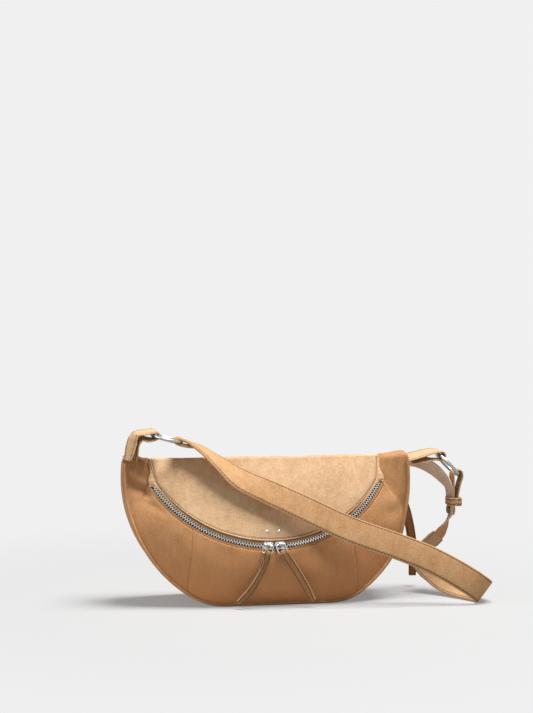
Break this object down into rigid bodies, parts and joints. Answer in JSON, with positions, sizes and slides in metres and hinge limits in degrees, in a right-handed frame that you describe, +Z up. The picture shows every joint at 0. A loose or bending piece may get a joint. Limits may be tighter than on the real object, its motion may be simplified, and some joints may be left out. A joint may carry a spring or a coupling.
{
  "type": "half moon shoulder bag",
  "caption": "Soft half moon suede shoulder bag with a curved zip mouth under a D-shaped flap, a back pocket, ring-hung strap with a holed tail and leather zip pulls.",
  "frame": {"origin": "middle of the flat base, on the floor the bag stands on", "axes": "+X to the right seen from the front, +Y to the back, +Z up"},
  "size_m": [0.3706, 0.1166, 0.1771],
  "materials": {
    "suede": "tan suede",
    "suede_lining": "smooth orange-tan strap lining",
    "flesh": "pinkish rough side of the leather",
    "lining": "woven tan lining",
    "tape": "woven tan tape",
    "board": "stiff plastic board",
    "silver": "polished nickel plating"
  },
  "bodies": {
    "bag": {"front_centre_panel": "suede", "front_left_panel": "suede", "front_right_panel": "suede", "front_lining": "lining", "gusset": "suede", "gusset_lining": "lining", "base_board": "board", "front_piping": "suede", "back_piping": "suede", "back_lower_panel": "suede", "back_upper_panel": "suede", "back_lining": "lining", "pocket_pouch": "lining", "top_fold": "suede", "lower_zip_tape": "tape", "lower_zip_teeth": "silver", "zip_end_stops": "silver", "back_zip_tape": "tape", "back_zip_teeth": "silver", "left_tab": "suede", "right_tab": "suede"},
    "flap": {"flap_panel": "suede", "flap_lining": "lining", "upper_zip_tape": "tape", "upper_zip_teeth": "silver", "flap_rivets": "silver"},
    "strap": {"strap_face": "suede", "strap_lining": "suede_lining", "strap_tail": "flesh", "right_chape": "suede", "strap_stud": "silver"},
    "left_slider": {"left_slider": "silver"},
    "right_slider": {"right_slider": "silver"},
    "left_pull": {"left_link": "silver", "left_pull": "suede"},
    "right_pull": {"right_link": "silver", "right_pull": "suede"},
    "back_slider": {"back_slider": "silver"},
    "back_pull": {"back_link": "silver", "back_pull": "suede"},
    "left_ring": {"left_ring": "silver"},
    "right_ring": {"right_ring": "silver"},
    "keeper": {"strap_keeper": "suede"}
  },
  "joints": [
    {"name": "strap_lift", "type": "hinge", "parent": "bag", "child": "strap", "pos_m": [-0.119, 0.00364, 0.1725], "axis": [-0.9965, 0, 0.0836], "range_deg": [0, 150], "deforming": ["left_tab", "right_tab"]},
    {"name": "flap_lift", "type": "hinge", "parent": "bag", "child": "flap", "pos_m": [0, 0.00747, 0.14671], "axis": [-1, 0, 0], "range_deg": [0, 90]},
    {"name": "left_zip", "type": "hinge", "parent": "flap", "child": "left_slider", "pos_m": [0, 0.02833, 0.17671], "axis": [0, 0.848, -0.5299], "range_deg": [0, 54]},
    {"name": "right_zip", "type": "hinge", "parent": "flap", "child": "right_slider", "pos_m": [0, 0.02833, 0.17671], "axis": [0, -0.848, 0.5299], "range_deg": [0, 54]},
    {"name": "left_pull_swing", "type": "hinge", "parent": "left_slider", "child": "left_pull", "pos_m": [-0.00595, -0.04758, 0.06334], "axis": [-0.9613, 0.142, 0.2363], "range_deg": [0, 60]},
    {"name": "right_pull_swing", "type": "hinge", "parent": "right_slider", "child": "right_pull", "pos_m": [0.00595, -0.04758, 0.06334], "axis": [-0.9613, -0.142, -0.2363], "range_deg": [0, 60]},
    {"name": "back_zip", "type": "slide", "parent": "bag", "child": "back_slider", "axis": [-1, 0, 0], "range_m": [0, 0.27]},
    {"name": "back_pull_swing", "type": "hinge", "parent": "back_slider", "child": "back_pull", "pos_m": [0.1385, 0.02266, 0.12735], "axis": [0.8988, -0.1571, 0.4093], "range_deg": [0, 70]},
    {"name": "left_ring_spin", "type": "hinge", "parent": "strap", "child": "left_ring", "pos_m": [-0.10403, 0.00364, 0.16849], "axis": [0.2588, 0, 0.9659], "continuous": true},
    {"name": "right_ring_spin", "type": "hinge", "parent": "strap", "child": "right_ring", "pos_m": [0.19577, 0.00364, 0.13585], "axis": [0.7193, 0, 0.6947], "continuous": true},
    {"name": "keeper_slide", "type": "slide", "parent": "strap", "child": "keeper", "axis": [0, 0, 1], "range_m": [0, 0.007]}
  ],
  "couplings": [
    {"joint": "flap_lift", "follows": "strap_lift", "ratio": 0.6},
    {"joint": "left_zip", "follows": "strap_lift", "ratio": 0.36},
    {"joint": "right_zip", "follows": "strap_lift", "ratio": 0.36}
  ]
}
